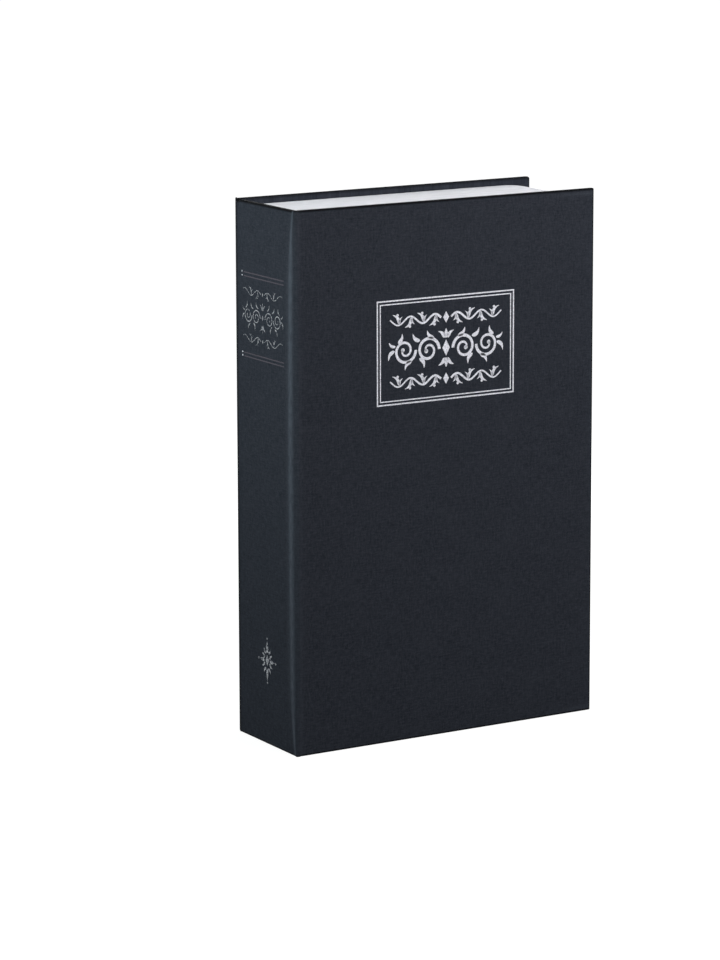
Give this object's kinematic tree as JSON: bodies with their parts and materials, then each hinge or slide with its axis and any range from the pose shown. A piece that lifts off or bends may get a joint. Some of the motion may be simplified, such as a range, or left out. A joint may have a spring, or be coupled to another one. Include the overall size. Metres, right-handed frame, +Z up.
{
  "type": "book diversion safe",
  "caption": "Hardback book that hides a lockable steel box: hinged cover, page-edged frame, hinged lid with a keyed cam lock.",
  "frame": {"origin": "under the middle of the closed book, on the surface that it stands on", "axes": "+Z up the book's height from tail to head, +X from the spine to the fore edge, +Y from the front cover to the back cover"},
  "size_m": [0.155, 0.055, 0.24],
  "materials": {
    "book_cloth": "matt blue-black linen-grain book cloth",
    "greyboard": "raw grey board",
    "liner_paper": "matt black endpaper",
    "page_plastic": "white moulded leaf edges",
    "box_paint": "black powder coat",
    "plain_steel": "zinc plated",
    "rivet_alloy": "plain",
    "lock_chrome": "polished",
    "plug_brass": "machined",
    "key_nickel": "nickel plated"
  },
  "bodies": {
    "book": {"spine_board": "greyboard", "spine_cloth": "book_cloth", "spine_lining": "liner_paper", "front_joint_cloth": "book_cloth", "back_board": "greyboard", "back_cloth": "book_cloth", "back_pastedown": "liner_paper", "page_frame": "page_plastic", "box_tray": "box_paint", "lid_hinge_pin": "plain_steel", "cam_keeper": "plain_steel", "tray_rivet_1": "rivet_alloy", "tray_rivet_2": "rivet_alloy", "tray_rivet_3": "rivet_alloy", "tray_rivet_4": "rivet_alloy", "key_1": "key_nickel", "key_2": "key_nickel"},
    "front_cover": {"front_board": "greyboard", "front_cloth": "book_cloth", "front_pastedown": "liner_paper"},
    "lid": {"box_lid": "box_paint", "lock_housing": "lock_chrome", "lock_nut": "plain_steel"},
    "lock_core": {"lock_plug": "plug_brass", "lock_wafer_1": "plug_brass", "lock_wafer_2": "plug_brass", "lock_wafer_3": "plug_brass", "lock_wafer_4": "plug_brass", "lock_wafer_5": "plug_brass", "turn_stop_washer": "plain_steel", "lock_cam": "plain_steel", "cam_screw": "plain_steel"}
  },
  "joints": [
    {"name": "cover_hinge", "type": "hinge", "parent": "book", "child": "front_cover", "pos_m": [-0.0766, -0.0266, 0.12], "axis": [0, 0, -1], "range_deg": [0, 180], "deforming": ["front_joint_cloth"]},
    {"name": "lid_hinge", "type": "hinge", "parent": "book", "child": "lid", "pos_m": [-0.07025, -0.0196, 0.12], "axis": [0, 0, -1], "range_deg": [0, 105]},
    {"name": "key_turn", "type": "hinge", "parent": "lid", "child": "lock_core", "pos_m": [0.0317, -0.01, 0.12], "axis": [0, -1, 0], "range_deg": [0, 90]}
  ],
  "couplings": [
    {"joint": "lid_hinge", "follows": "cover_hinge", "ratio": 0.5833}
  ]
}
